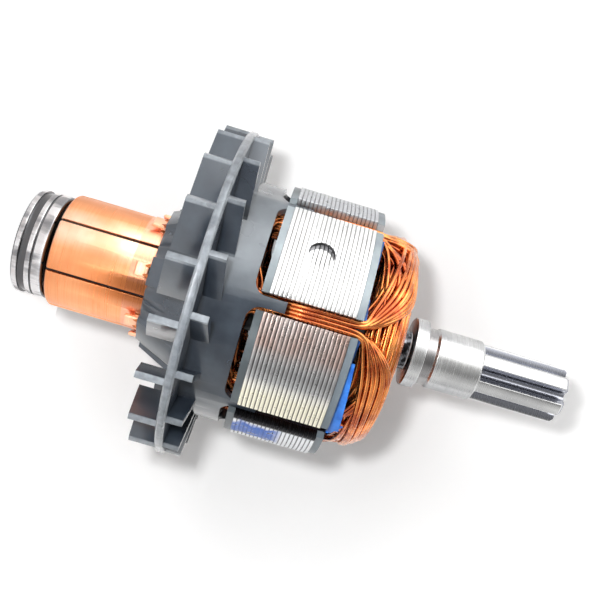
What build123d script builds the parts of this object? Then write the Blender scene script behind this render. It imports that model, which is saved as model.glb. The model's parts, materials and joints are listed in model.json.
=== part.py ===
"""Rotor of a small commutator motor: shaft with pinion, rear ball bearing, commutator, cooling fan,
laminated stack with seven wound slots.

Millimetres. The shaft's axis is Z. The origin is the middle of the rear bearing's end face, on which the
rotor stands, and +Z points to the pinion. The slot nearest the viewer lies near -Y.
"""

import os
from math import asin, cos, degrees, pi, radians, sin, tan

from build123d import *

# Poles, bars, slots and coils: one of each per pitch
pole_count = 7
first_slot_angle = -3.5 - 90  # degrees, from +X: the slot in front, a little off -Y
pitch = 360 / pole_count

# Shaft, from the rear end to the pinion
shaft_diameter = 7.0
shaft_end_recess = 0.6  # the shaft's rear end lies this far inside the bearing
shaft_end_chamfer = 0.5
neck_diameter = 6.5  # the relieved length between the winding and the collar
neck_length = 3.5
neck_overlap = 1.5  # how far the neck starts inside the winding's washer
collar_diameter = 11.5
collar_length = 2.3
collar_edge = 0.2
undercut_diameter = 9.4
undercut_length = 1.6
seat_diameter = 10.0
seat_length = 8.0
seat_chamfer = 0.4

# Pinion on the shaft's front end
tooth_count = 6
pinion_diameter = 9.2
pinion_length = 14.4
pinion_root_diameter = 5.6
pinion_chamfer = 0.5
groove_mouth = 2.9  # width of the space between two teeth at the tips
groove_root_radius = 0.7
groove_overrun = 1.0  # how far a cut runs on past the outside

# Rear ball bearing
bearing_diameter = 17.0
bearing_width = 5.0
bearing_chamfer = 0.3
inner_ring_diameter = 9.5
outer_ring_bore = 14.5
ball_diameter = 2.6
ball_count = 8
ball_clearance = 0.03
ring_groove_width = 1.2
ring_groove_depth = 0.35
ring_groove_place = 1.0  # from the end face to the groove
thin_groove_width = 0.3
thin_groove_depth = 0.2
thin_groove_place = 3.0
shield_thickness = 0.3
shield_inset = 0.25
shield_seat_depth = 0.35  # how far the shield's rim reaches into the outer ring
shield_gap = 0.15
cage_height = 2.8
cage_thickness = 0.9
cage_rim = 0.45
pocket_clearance = 0.06
raceway_chord = 1.1  # length of the straight bottom of a ball groove
groove_slope = 45.0  # degrees, of the sides of a ball groove

# Commutator
commutator_gap = 0.7  # nose of the moulding between the bearing and the copper
nose_diameter = 12.0
commutator_diameter = 18.5
commutator_length = 14.3
bar_thickness = 1.7
bar_gap = 0.45  # the slot between two bars
bar_gap_depth = 0.5
bar_chamfer = 0.3
key_neck = 1.4  # the dovetail that holds a bar in the moulding
key_foot = 2.4
key_depth = 1.5
key_root = 0.3  # how deep the dovetail starts inside the bar
hook_width = 2.2
hook_length = 2.4
hook_height = 1.2
hook_thickness = 0.65
hook_root = 0.9
hook_seat = 0.4  # how deep the hook starts inside the bar

# Fan
fan_diameter = 53.5
disc_thickness = 1.3
disc_place = 9.4  # from the commutator's end to the disc
rim_rounding = 0.3
hub_start_diameter = 20.8
hub_end_diameter = 27.4
hub_rise = 8.0  # length of the cone
tunnel_width = 4.4
tunnel_height = 1.1  # how far a wire tunnel stands out of the cone
tunnel_root = 2.0  # how deep a tunnel starts inside the cone
passage_overrun = 1.0  # how far the cut of a passage runs on past both ends
passage_width = 2.2
passage_height = 1.8
passage_wall = 0.9
blade_count = 19
blade_thickness = 1.0
blade_inner_share = 0.714  # inner end of a blade as a share of the disc's radius
blade_sweep = 12.5  # degrees from a blade's outer to its inner end
blade_rim_gap = 0.4
rear_blade_inner_height = 4.9
rear_blade_outer_height = 4.1
front_blade_inner_height = 2.8
front_blade_outer_height = 2.4
rear_blade_angle = 10.8 - 90  # one blade's outer end on the commutator's side
front_blade_angle = 6.9 - 90
blade_root = 0.3  # how deep a blade starts inside the disc

# Skirt of the fan round the winding's rear end
skirt_setback = 1.0  # how far the skirt lies inside the stack's outside
skirt_wall = 1.4
skirt_to_stack = 2.3  # from the skirt's edge to the first lamination
finger_clearance = 0.1  # on each side, between a finger and the slot liner
finger_reach = 2.9  # how far a finger reaches past the first lamination
skirt_corner = 2.0
window_overrun = 2.0  # how far the cut of a window runs on past the skirt

# Stack of laminations
fan_to_stack = 8.9  # from the disc's front face to the first lamination
stack_diameter = 41.2
lamination_count = 20
lamination_thickness = 0.635
tooth_neck = 5.4
slot_bottom_radius = 8.6
slot_opening = 2.7
tip_thickness = 1.4
tip_slope = 2.4
balance_mark_pole = 6  # the pole with a drilled balance mark
balance_mark_diameter = 3.8
balance_mark_depth = 0.7
balance_mark_place = 5.6  # from the first lamination's rear face

# Insulation
insulator_thickness = 1.1
insulator_setback = 0.25
tube_diameter = 8.4
liner_thickness = 0.2
liner_overhang = 0.5
cuff_inner_radius = 14.6  # the liner stands past the stack only outside this radius
washer_diameter = 9.4
washer_thickness = 0.5

# Coils: each lies in two slots, three slots apart
coil_slot_count = 3  # slots from a coil's outer leg to its inner leg
coil_size = 3.0
layer_gap = 0.6  # height left free under, between and over the two layers of coils
leg_depth = 1.3  # from under the pole tips to the outer leg
leg_gap = 0.8  # between the outer and the inner leg in one slot
nose_gap = 0.6  # between the insulating tube and the turn of a coil
leg_foot = 0.9  # how far the inner leg stands out below the lower layer

# Heights that follow from the sizes above
commutator_start = bearing_width + commutator_gap
commutator_end = commutator_start + commutator_length
disc_rear = commutator_end + disc_place
disc_front = disc_rear + disc_thickness
stack_rear = disc_front + fan_to_stack
stack_length = lamination_count * lamination_thickness
stack_front = stack_rear + stack_length
stack_middle = (stack_rear + stack_front) / 2
coil_face = stack_front + insulator_thickness
lower_layer = coil_face + coil_size / 2 + layer_gap
upper_layer = lower_layer + coil_size + layer_gap
winding_top = upper_layer + coil_size / 2
washer_top = winding_top + layer_gap + washer_thickness
neck_start = washer_top - neck_overlap
collar_start = neck_start + neck_length
collar_end = collar_start + collar_length
seat_start = collar_end + undercut_length
seat_end = seat_start + seat_length
shaft_end = seat_end + pinion_length

shaft_radius = shaft_diameter / 2
bearing_radius = bearing_diameter / 2
commutator_radius = commutator_diameter / 2
fan_radius = fan_diameter / 2
stack_radius = stack_diameter / 2
skirt_radius = stack_radius - skirt_setback
outer_leg_radius = stack_radius - tip_thickness - leg_depth - coil_size / 2
inner_leg_radius = outer_leg_radius - coil_size - leg_gap
nose_radius = (tube_diameter + coil_size) / 2 + nose_gap


def slot_angle(k):
    """Direction of slot k, in degrees from +X."""
    return first_slot_angle + k * pitch


def pole_angle(k):
    """Direction of pole k, half a pitch after slot k."""
    return slot_angle(k) + pitch / 2


def polar(radius, angle, height=0.0):
    """A point at a radius, an angle in degrees and a height."""
    return Vector(radius * cos(radians(angle)), radius * sin(radians(angle)), height)


def between(low, high, share):
    """The value at a share of the way from low to high."""
    return low + share * (high - low)


def turned(points):
    """A solid turned round the Z axis from a closed outline of (radius, height) points."""
    outline = make_face(Plane.XZ * Polyline(*points, close=True))
    return revolve(outline, Axis.Z)


def ring(outer, inner, bottom, top):
    """A plain ring between two radii and two heights."""
    return turned([(inner, bottom), (outer, bottom), (outer, top), (inner, top)])


def save(name, shape):
    """Write one node."""
    export_step(shape, f"parts/{name}.step")


def make_shaft():
    """The shaft with its collar, front bearing seat and pinion blank, and the spaces between the teeth."""
    neck = neck_diameter / 2
    collar = collar_diameter / 2
    seat = seat_diameter / 2
    pinion = pinion_diameter / 2
    undercut = undercut_diameter / 2
    blank = turned([
        (0, shaft_end_recess),
        (shaft_radius - shaft_end_chamfer, shaft_end_recess),
        (shaft_radius, shaft_end_recess + shaft_end_chamfer),
        (shaft_radius, neck_start),
        (neck, neck_start),
        (neck, collar_start),
        (collar - collar_edge, collar_start),
        (collar, collar_start + collar_edge),
        (collar, collar_end - collar_edge),
        (collar - collar_edge, collar_end),
        (undercut, collar_end),
        (undercut, seat_start),
        (seat - seat_chamfer, seat_start),
        (seat, seat_start + seat_chamfer),
        (seat, seat_end - seat_chamfer),
        (pinion, seat_end),
        (pinion, shaft_end - pinion_chamfer),
        (pinion - pinion_chamfer, shaft_end),
        (0, shaft_end),
    ])
    root_centre = pinion_root_diameter / 2 + groove_root_radius
    beyond = pinion + groove_overrun
    mouth = groove_mouth / 2
    side = Polyline(
        (root_centre, groove_root_radius), (pinion, mouth), (beyond, mouth),
        (beyond, -mouth), (pinion, -mouth), (root_centre, -groove_root_radius),
    )
    bottom = ThreePointArc(
        (root_centre, -groove_root_radius), (pinion_root_diameter / 2, 0), (root_centre, groove_root_radius),
    )
    space = extrude(Plane.XY.offset(seat_end) * make_face(side + bottom), pinion_length)
    for k in range(tooth_count):
        blank -= Rot(0, 0, (k + 0.5) * 360 / tooth_count) * space
    return blank


def make_bearing():
    """The rear ball bearing's pieces by name."""
    inner = inner_ring_diameter / 2
    bore = outer_ring_bore / 2
    pitch_radius = (inner + bore) / 2
    middle = bearing_width / 2
    ball = ball_diameter / 2
    edge = bearing_chamfer
    # each ball groove is three straight lines that keep the running clearance from the ball
    chord = raceway_chord / 2
    reach = ball + ball_clearance
    slope = tan(radians(groove_slope))
    inner_edge = inner - (pitch_radius - reach)
    outer_edge = pitch_radius + reach - bore
    inner_ring = turned([
        (shaft_radius, 0),
        (inner, 0),
        (inner, middle - chord - inner_edge / slope),
        (inner - inner_edge, middle - chord),
        (inner - inner_edge, middle + chord),
        (inner, middle + chord + inner_edge / slope),
        (inner, bearing_width),
        (shaft_radius, bearing_width),
    ])

    seat = bore + shield_seat_depth
    step = shield_inset + shield_thickness
    wide, thin = bearing_radius - ring_groove_depth, bearing_radius - thin_groove_depth
    outer_ring = turned([
        (seat, 0),
        (bearing_radius - edge, 0),
        (bearing_radius, edge),
        (bearing_radius, ring_groove_place),
        (wide, ring_groove_place),
        (wide, ring_groove_place + ring_groove_width),
        (bearing_radius, ring_groove_place + ring_groove_width),
        (bearing_radius, thin_groove_place),
        (thin, thin_groove_place),
        (thin, thin_groove_place + thin_groove_width),
        (bearing_radius, thin_groove_place + thin_groove_width),
        (bearing_radius, bearing_width - edge),
        (bearing_radius - edge, bearing_width),
        (seat, bearing_width),
        (seat, bearing_width - step),
        (bore, bearing_width - step),
        (bore, middle + chord + outer_edge / slope),
        (bore + outer_edge, middle + chord),
        (bore + outer_edge, middle - chord),
        (bore, middle - chord - outer_edge / slope),
        (bore, step),
        (seat, step),
    ])

    balls = [
        Pos(*polar(pitch_radius, k * 360 / ball_count, middle)) * Sphere(ball) for k in range(ball_count)
    ]
    cage_bottom = middle + ball + cage_rim - cage_height
    cage = ring(
        pitch_radius + cage_thickness / 2, pitch_radius - cage_thickness / 2,
        cage_bottom, cage_bottom + cage_height,
    )
    pocket_width = ball_diameter + 2 * pocket_clearance
    pocket = Pos(pitch_radius, 0, middle) * Box(2 * cage_thickness, pocket_width, pocket_width)
    for k in range(ball_count):
        cage -= Rot(0, 0, k * 360 / ball_count) * pocket

    shield_inner = inner + shield_gap
    rear_shield = ring(seat, shield_inner, shield_inset, step)
    front_shield = ring(seat, shield_inner, bearing_width - step, bearing_width - shield_inset)
    return {
        "bearing_inner_ring": inner_ring,
        "bearing_outer_ring": outer_ring,
        "bearing_balls": Compound(balls),
        "bearing_cage": cage,
        "bearing_rear_shield": rear_shield,
        "bearing_front_shield": front_shield,
    }


def make_bar():
    """One commutator bar on the +X side: a copper segment with its dovetail and its folded hook."""
    inner = commutator_radius - bar_thickness
    half = pitch / 2 - degrees(asin(bar_gap / 2 / commutator_radius))
    face = make_face(
        ThreePointArc(
            polar(commutator_radius, -half), polar(commutator_radius, 0), polar(commutator_radius, half)
        )
        + Line(polar(commutator_radius, half), polar(inner, half))
        + ThreePointArc(polar(inner, half), polar(inner, 0), polar(inner, -half))
        + Line(polar(inner, -half), polar(commutator_radius, -half))
    )
    foot = inner - key_depth
    key = make_face(Polyline(
        (inner + key_root, key_neck / 2), (inner, key_neck / 2), (foot, key_foot / 2),
        (foot, -key_foot / 2), (inner, -key_neck / 2), (inner + key_root, -key_neck / 2), close=True,
    ))
    bar = extrude(Plane.XY.offset(commutator_start) * (face + key), commutator_length)
    ends = turned([
        (0, commutator_start),
        (commutator_radius - bar_chamfer, commutator_start),
        (commutator_radius, commutator_start + bar_chamfer),
        (commutator_radius, commutator_end),
        (0, commutator_end),
    ])
    bar &= ends
    top = commutator_radius + hook_height
    low = top - hook_thickness
    tip = commutator_end - hook_length
    nose = hook_thickness / 2
    start = commutator_radius - hook_seat
    hook_outline = (
        Polyline(
            (start, commutator_end), (top - nose, commutator_end), (top, commutator_end - nose), (top, tip + nose)
        )
        + ThreePointArc((top, tip + nose), (top - nose, tip), (low, tip + nose))
        + Polyline(
            (low, tip + nose), (low, commutator_end - hook_root), (start, commutator_end - hook_root),
            (start, commutator_end),
        )
    )
    hook = extrude(make_face(Plane.XZ * hook_outline), hook_width / 2, both=True)
    return bar + hook


def make_commutator():
    """The moulding and the seven bars by name; a bar's hook lies in line with a slot of the stack."""
    bar = make_bar()
    bars = [Rot(0, 0, slot_angle(k)) * bar for k in range(pole_count)]
    core_radius = commutator_radius - bar_gap_depth
    core = turned([
        (shaft_radius, bearing_width),
        (nose_diameter / 2, bearing_width),
        (nose_diameter / 2, commutator_start),
        (core_radius, commutator_start),
        (core_radius, commutator_end),
        (shaft_radius, commutator_end),
    ])
    for piece in bars:
        core -= piece
    named = {f"commutator_bar_{k + 1}": piece for k, piece in enumerate(bars)}
    named["commutator_core"] = core
    return named


def make_blade(inner_height, outer_height, angle, face_height, side):
    """One flat fan blade between the disc and its free edge; side is +1 or -1 along Z."""
    outer = polar(fan_radius - blade_rim_gap, angle)
    inner = polar(fan_radius * blade_inner_share, angle + blade_sweep)
    along = (outer - inner).normalized()
    length = (outer - inner).length
    plane = Plane(origin=inner + Vector(0, 0, face_height), x_dir=along, z_dir=along.cross(Vector(0, 0, side)))
    outline = make_face(plane * Polyline(
        (0, -blade_root), (length, -blade_root), (length, outer_height), (0, inner_height), close=True,
    ))
    return extrude(outline, blade_thickness / 2, both=True)


def make_fan():
    """The fan: hub cone with wire tunnels, disc, two rows of blades, skirt and fingers, in one moulding."""
    start, end = hub_start_diameter / 2, hub_end_diameter / 2
    cone_top = commutator_end + hub_rise
    hub = turned([
        (shaft_radius, commutator_end), (start, commutator_end), (end, cone_top),
        (end, disc_rear + blade_root), (shaft_radius, disc_rear + blade_root),
    ])
    disc = turned([
        (shaft_radius, disc_rear),
        (fan_radius - rim_rounding, disc_rear),
        (fan_radius, disc_rear + rim_rounding),
        (fan_radius, disc_front - rim_rounding),
        (fan_radius - rim_rounding, disc_front),
        (shaft_radius, disc_front),
    ])
    fan = hub + disc

    slope = (end - start) / hub_rise
    tunnel = make_face(Plane.XZ * Polyline(
        (start - tunnel_root, commutator_end), (start + tunnel_height, commutator_end),
        (end + tunnel_height, cone_top), (end + tunnel_height, disc_rear + blade_root),
        (start - tunnel_root, disc_rear + blade_root), close=True,
    ))
    tunnel = extrude(tunnel, tunnel_width / 2, both=True)
    roof = start + tunnel_height - passage_wall
    below = -passage_overrun * slope
    above = (disc_front + passage_overrun - commutator_end) * slope
    passage = make_face(Plane.XZ * Polyline(
        (roof - passage_height + below, commutator_end - passage_overrun),
        (roof + below, commutator_end - passage_overrun),
        (roof + above, disc_front + passage_overrun),
        (roof - passage_height + above, disc_front + passage_overrun), close=True,
    ))
    passage = extrude(passage, passage_width / 2, both=True)
    for k in range(pole_count):
        fan += Rot(0, 0, slot_angle(k)) * tunnel
    for k in range(pole_count):
        fan -= Rot(0, 0, slot_angle(k)) * passage

    blades = []
    for k in range(blade_count):
        turn = k * 360 / blade_count
        blades.append(make_blade(
            rear_blade_inner_height, rear_blade_outer_height, rear_blade_angle + turn, disc_rear, -1))
        blades.append(make_blade(
            front_blade_inner_height, front_blade_outer_height, front_blade_angle + turn, disc_front, 1))

    skirt_edge = stack_rear - skirt_to_stack
    skirt_inner = skirt_radius - skirt_wall
    skirt = ring(skirt_radius, skirt_inner, disc_front - blade_root, stack_rear + finger_reach)
    finger_width = slot_opening - 2 * (liner_thickness + finger_clearance)
    window_half = (2 * pi * skirt_radius / pole_count - finger_width) / 2
    window_top = stack_rear + finger_reach + window_overrun
    window = Plane.YZ * Pos(0, (skirt_edge + window_top) / 2) * RectangleRounded(
        2 * window_half, window_top - skirt_edge, skirt_corner)
    window = extrude(window, skirt_radius + window_overrun)
    for k in range(pole_count):
        skirt -= Rot(0, 0, pole_angle(k)) * window
    return fan + skirt + blades


def pole_outline(setback=0.0):
    """The seven-pole section as a face, for laminations and insulators; setback draws the pole faces in."""
    radius = stack_radius - setback
    half_neck = tooth_neck / 2
    bottom_half = degrees(asin(half_neck / slot_bottom_radius))
    opening_half = degrees(asin(slot_opening / 2 / stack_radius))
    tip_half = pitch / 2 - opening_half
    tip_inner = stack_radius - tip_thickness
    neck_end = stack_radius - tip_thickness - tip_slope
    edges = []
    for k in range(pole_count):
        turn = Rot(0, 0, pole_angle(k))
        start = polar(slot_bottom_radius, -bottom_half)
        rise = Polyline(
            start, (neck_end, -half_neck), polar(tip_inner, -tip_half), polar(radius, -tip_half))
        face = ThreePointArc(polar(radius, -tip_half), (radius, 0), polar(radius, tip_half))
        fall = Polyline(
            polar(radius, tip_half), polar(tip_inner, tip_half), (neck_end, half_neck),
            polar(slot_bottom_radius, bottom_half))
        floor = Line(polar(slot_bottom_radius, bottom_half), polar(slot_bottom_radius, pitch - bottom_half))
        edges += [turn * rise, turn * face, turn * fall, turn * floor]
    return make_face(Curve() + edges)


def slot_section():
    """The clear section of the slot on the +X side, from its floor to under the pole tips."""
    half_neck = tooth_neck / 2
    half = pitch / 2
    floor = polar(slot_bottom_radius, half - degrees(asin(half_neck / slot_bottom_radius)))
    neck_end = Vector(stack_radius - tip_thickness - tip_slope, half_neck)
    shoulder = neck_end.rotate(Axis.Z, -half)
    opening_half = degrees(asin(slot_opening / 2 / stack_radius))
    lip = polar(stack_radius - tip_thickness, opening_half)
    upper = [floor, Vector(shoulder.X, -shoulder.Y), lip]
    lower = [Vector(p.X, -p.Y) for p in reversed(upper)]
    return upper + lower


def make_stack():
    """Laminations, end insulators, slot liners and the winding washer by name."""
    named = {}
    bore = Circle(shaft_radius)
    sheet = extrude(pole_outline() - bore, lamination_thickness)
    drill = Pos(stack_radius, 0, stack_rear + balance_mark_place) * Rot(0, 90, 0) * Cylinder(
        balance_mark_diameter / 2, 2 * balance_mark_depth)
    drill = Rot(0, 0, pole_angle(balance_mark_pole)) * drill
    for k in range(lamination_count):
        lamination = Pos(0, 0, stack_rear + k * lamination_thickness) * sheet
        if abs((k + 0.5) * lamination_thickness - balance_mark_place) < (
            balance_mark_diameter + lamination_thickness
        ) / 2:
            lamination -= drill
        named[f"lamination_{k + 1:02d}"] = lamination

    tube = tube_diameter / 2
    plate = extrude(pole_outline(insulator_setback) - bore, insulator_thickness)
    rear = Pos(0, 0, stack_rear - insulator_thickness) * plate
    rear += ring(tube, shaft_radius, disc_front, stack_rear - insulator_thickness)
    named["rear_end_insulator"] = rear
    front = Pos(0, 0, stack_front) * plate
    front += ring(tube, shaft_radius, stack_front + insulator_thickness, washer_top - washer_thickness)
    named["front_end_insulator"] = front
    named["winding_washer"] = ring(
        washer_diameter / 2, neck_diameter / 2, washer_top - washer_thickness, washer_top)

    section = make_face(Polyline(*slot_section(), close=True))
    room = offset(section, -liner_thickness)
    mouth = Pos(stack_radius - tip_thickness, 0) * Rectangle(2 * tip_slope, slot_opening)
    sheet = section - room - mouth
    rear_end = stack_rear - insulator_thickness
    liner = extrude(Plane.XY.offset(rear_end) * sheet, coil_face + liner_overhang - rear_end)
    liner -= Pos(0, 0, coil_face) * extrude(Circle(cuff_inner_radius), liner_overhang)
    for k in range(pole_count):
        named[f"slot_liner_{k + 1}"] = Rot(0, 0, slot_angle(k)) * liner
    return named


def bundle(route, half_size):
    """A straight-edged bundle along a route of points: eight-sided, mitred at each point."""
    sides = 8
    reach = half_size / cos(pi / sides)
    corners = [
        (reach * cos((j + 0.5) * 2 * pi / sides), reach * sin((j + 0.5) * 2 * pi / sides)) for j in range(sides)
    ]
    directions = [(b - a).normalized() for a, b in zip(route, route[1:])]
    across = Vector(route[0].X, route[0].Y, 0).normalized()
    beside = directions[0].cross(across).normalized()
    offsets = [across * u + beside * v for u, v in corners]
    sections = [[route[0] + o for o in offsets]]
    for i in range(1, len(route)):
        before = directions[i - 1]
        after = directions[i] if i < len(directions) else before
        normal = (before + after).normalized()
        # each edge runs on along its own leg until it meets the mitre plane
        points = [o - before * (o.dot(normal) / before.dot(normal)) for o in offsets]
        sections.append([route[i] + p for p in points])
        offsets = [p - after * p.dot(after) for p in points]
    faces = [Face(Wire.make_polygon(sections[0])), Face(Wire.make_polygon(sections[-1]))]
    for low, high in zip(sections, sections[1:]):
        for j in range(len(corners)):
            n = (j + 1) % len(corners)
            faces.append(Face(Wire.make_polygon([low[j], low[n], high[n], high[j]])))
    return Solid(Shell(faces)).fix()


def coil_route():
    """Half a coil's route, from the middle of its outer leg over the front end to its inner leg.

    Each entry is a radius, an angle as a share of the coil's span, and a height. The bundle rises from the
    outer place in its slot, spirals inwards on the upper layer, turns down beside the tube and spirals
    outwards on the lower layer, so that seven equal coils lie in each other without touching.
    """
    span = coil_slot_count * pitch
    climb = upper_layer - lower_layer
    steps = [
        (outer_leg_radius, 0.0, stack_middle),
        (outer_leg_radius, 0.0, lower_layer + 0.1 * climb),
        (between(nose_radius, outer_leg_radius, 0.96), 0.07, lower_layer + 0.7 * climb),
        (between(nose_radius, outer_leg_radius, 0.83), 0.16, upper_layer),
        (between(nose_radius, outer_leg_radius, 0.58), 0.29, upper_layer),
        (between(nose_radius, outer_leg_radius, 0.27), 0.40, upper_layer),
        (nose_radius, 0.49, upper_layer - 0.2 * climb),
        (nose_radius, 0.53, lower_layer + 0.2 * climb),
        (between(nose_radius, inner_leg_radius, 0.24), 0.63, lower_layer),
        (between(nose_radius, inner_leg_radius, 0.56), 0.76, lower_layer),
        (between(nose_radius, inner_leg_radius, 0.87), 0.90, lower_layer),
        (inner_leg_radius, 0.985, lower_layer),
        (inner_leg_radius, 1.0, lower_layer - leg_foot),
        (inner_leg_radius, 1.0, stack_middle),
    ]
    return [polar(radius, share * span, height) for radius, share, height in steps]


def make_coils():
    """Seven equal coils by name, each closed by the mirror image of its front half."""
    half = bundle(coil_route(), coil_size / 2)
    whole = half + mirror(half, Plane.XY.offset(stack_middle))
    return {f"coil_{k + 1}": Rot(0, 0, slot_angle(k)) * whole for k in range(pole_count)}


os.makedirs("parts", exist_ok=True)
save("shaft", make_shaft())
save("fan", make_fan())
for group in (make_bearing(), make_commutator(), make_stack(), make_coils()):
    for name, shape in group.items():
        save(name, shape)
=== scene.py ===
# %% [markdown]
# # The rotor of a small motor, dressed for its photograph
#
# The solids of this rotor were made in CAD and packed as a frame that doesn't change. This lesson dresses
# them in Blender: worn copper, ground steel, moulded plastic, varnished wire. Each cell does one thing, and
# the text before it says what the real piece is like and why it is made this way.

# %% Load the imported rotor
import json
import math
import random

import bpy
from mathutils import Matrix, Vector


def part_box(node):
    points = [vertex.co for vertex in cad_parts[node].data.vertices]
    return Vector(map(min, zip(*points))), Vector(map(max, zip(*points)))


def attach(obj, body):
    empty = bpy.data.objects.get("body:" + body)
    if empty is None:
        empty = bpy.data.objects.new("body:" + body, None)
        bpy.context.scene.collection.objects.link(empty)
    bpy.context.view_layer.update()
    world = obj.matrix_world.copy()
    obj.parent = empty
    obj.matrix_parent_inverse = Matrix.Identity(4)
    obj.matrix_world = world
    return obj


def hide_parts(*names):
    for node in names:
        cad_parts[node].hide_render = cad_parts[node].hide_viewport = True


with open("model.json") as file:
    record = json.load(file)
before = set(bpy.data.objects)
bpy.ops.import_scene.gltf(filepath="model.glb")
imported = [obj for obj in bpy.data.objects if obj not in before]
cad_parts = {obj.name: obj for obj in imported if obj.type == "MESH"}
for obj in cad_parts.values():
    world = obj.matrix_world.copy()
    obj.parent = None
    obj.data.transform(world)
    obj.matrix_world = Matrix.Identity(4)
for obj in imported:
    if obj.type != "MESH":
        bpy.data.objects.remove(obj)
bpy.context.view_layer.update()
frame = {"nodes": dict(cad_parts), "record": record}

nodes = frame["nodes"]
mm = 0.001

# %% [markdown]
# ## Heights to build on
#
# The shaft runs along Z and the rear bearing stands on Z = 0. Everything that is added later takes its
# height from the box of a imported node, so that it fits without trial and error.


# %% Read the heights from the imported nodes
def bottom(node):
    """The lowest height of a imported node, in metres."""
    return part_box(node)[0].z


def top(node):
    """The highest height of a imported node, in metres."""
    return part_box(node)[1].z


sheet_count = 20
pole_count = 7
pitch = 2 * math.pi / pole_count
first_slot = math.radians(-93.5)
bar_end = top("commutator_core")
longer_bars = 1.4 * mm
hook_start = bar_end + longer_bars - 2.4 * mm
stack_rear = bottom("lamination_01")
stack_front = top(f"lamination_{sheet_count:02d}")
stack_middle = (stack_rear + stack_front) / 2
sheet_thickness = (stack_front - stack_rear) / sheet_count
stack_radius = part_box("lamination_01")[1].x
plate_front = stack_front + 1.1 * mm
winding_top = top("winding_washer")
print("stack from", round(stack_rear / mm, 2), "to", round(stack_front / mm, 2),
      "radius", round(stack_radius / mm, 2))

# %% [markdown]
# ## The camera
#
# The photograph looks square at the rotor's side, with the camera turned about its own line of sight so that
# the shaft slopes down to the right. A camera in Blender looks along its own -Z with Y up, so its matrix is
# written from three directions: right, up and back.

# %% Place the camera where the photographer stood
camera_place = Vector((-2.107, -133.918, 41.4)) * mm
camera_tilt = math.radians(2.009)
camera_roll = math.radians(16.5)
sight = Vector((0, math.cos(camera_tilt), math.sin(camera_tilt)))
level_right = Vector((0, -math.sin(camera_tilt), math.cos(camera_tilt)))
level_up = level_right.cross(sight)
image_right = level_right * math.cos(camera_roll) + level_up * math.sin(camera_roll)
image_up = image_right.cross(sight)

camera_data = bpy.data.cameras.new("camera")
camera_data.sensor_width = 36
camera_data.lens = 47.69
camera_data.clip_start = 0.01
camera = bpy.data.objects.new("camera", camera_data)
bpy.context.scene.collection.objects.link(camera)
turn = Matrix((image_right, image_up, -sight)).transposed()
camera.matrix_world = Matrix.Translation(camera_place) @ turn.to_4x4()
bpy.context.scene.camera = camera
bpy.context.scene.view_settings.view_transform = "Standard"
print("camera looks along", [round(v, 3) for v in sight])

# %% [markdown]
# ## Small helpers for nodes
#
# The surroundings and the finishes are both built from nodes. One helper makes a calculation from numbers and
# other nodes' results, and one maps a range to another. A third gives the angle round the shaft, because the
# light in the picture and the stains on the rotor both follow it.


# %% Helpers: a calculation, a range, the angle round the shaft
def calculated(tree, operation, *values):
    """The result of a math node, from numbers and other nodes' results."""
    node = tree.nodes.new("ShaderNodeMath")
    node.operation = operation
    for socket, value in zip(node.inputs, values):
        if isinstance(value, bpy.types.NodeSocket):
            tree.links.new(value, socket)
        else:
            socket.default_value = value
    return node.outputs[0]


def rescaled(tree, value, low, high, new_low, new_high):
    """The value mapped from one range to another, and held inside it."""
    node = tree.nodes.new("ShaderNodeMapRange")
    node.inputs["From Min"].default_value = low
    node.inputs["From Max"].default_value = high
    node.inputs["To Min"].default_value = new_low
    node.inputs["To Max"].default_value = new_high
    tree.links.new(value, node.inputs["Value"])
    return node.outputs["Result"]


def angle_round_shaft(tree, coords):
    """The angle of a place or direction round Z, from -180 to 180 degrees, 0 at -Y and growing towards +X."""
    split = tree.nodes.new("ShaderNodeSeparateXYZ")
    tree.links.new(coords, split.inputs[0])
    towards_viewer = calculated(tree, "MULTIPLY", split.outputs["Y"], -1)
    angle = calculated(tree, "ARCTAN2", split.outputs["X"], towards_viewer)
    return calculated(tree, "DEGREES", angle)


print("first helpers ready")

# %% [markdown]
# ## The surroundings
#
# Metal shows what stands round it. Round the shaft there is a bright window above the line of sight, the
# darker room behind the photographer just under it, and the white table further down. Both that ring and the
# soft light are made of greys that change from stop to stop along the angle.


# %% Helpers: a background, a mix of two shaders, zones of grey
def background(tree, colour, strength):
    """A world background of one colour."""
    node = tree.nodes.new("ShaderNodeBackground")
    node.inputs["Color"].default_value = (*colour, 1)
    node.inputs["Strength"].default_value = strength
    return node


def mixed(tree, share, first, second):
    """Mix the shaders of two nodes by a share."""
    node = tree.nodes.new("ShaderNodeMixShader")
    tree.links.new(share, node.inputs[0])
    tree.links.new(first.outputs[0], node.inputs[1])
    tree.links.new(second.outputs[0], node.inputs[2])
    return node


def zones(tree, angle, stops):
    """Greys along the angle from -180 to 180 degrees, blended from stop to stop."""
    greys = tree.nodes.new("ShaderNodeValToRGB")
    greys.color_ramp.interpolation = "EASE"
    while len(greys.color_ramp.elements) < len(stops):
        greys.color_ramp.elements.new(0.5)
    for element, (place, level) in zip(greys.color_ramp.elements, stops):
        element.position = (place + 180) / 360
        element.color = (level, level, level, 1)
    tree.links.new(rescaled(tree, angle, -180, 180, 0, 1), greys.inputs["Fac"])
    return greys.outputs["Color"]


print("helpers for the surroundings ready")

# %% [markdown]
# The world is white for the camera, the ring of bright and dark zones for reflections, and a soft light from
# above for the rest.

# %% World: white to the eye, a ring of zones in the reflections
world = bpy.data.worlds.new("studio")
bpy.context.scene.world = world
world.use_nodes = True
tree = world.node_tree
tree.nodes.clear()
output = tree.nodes.new("ShaderNodeOutputWorld")
rays = tree.nodes.new("ShaderNodeLightPath")
round_angle = angle_round_shaft(tree, tree.nodes.new("ShaderNodeTexCoord").outputs["Generated"])

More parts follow.
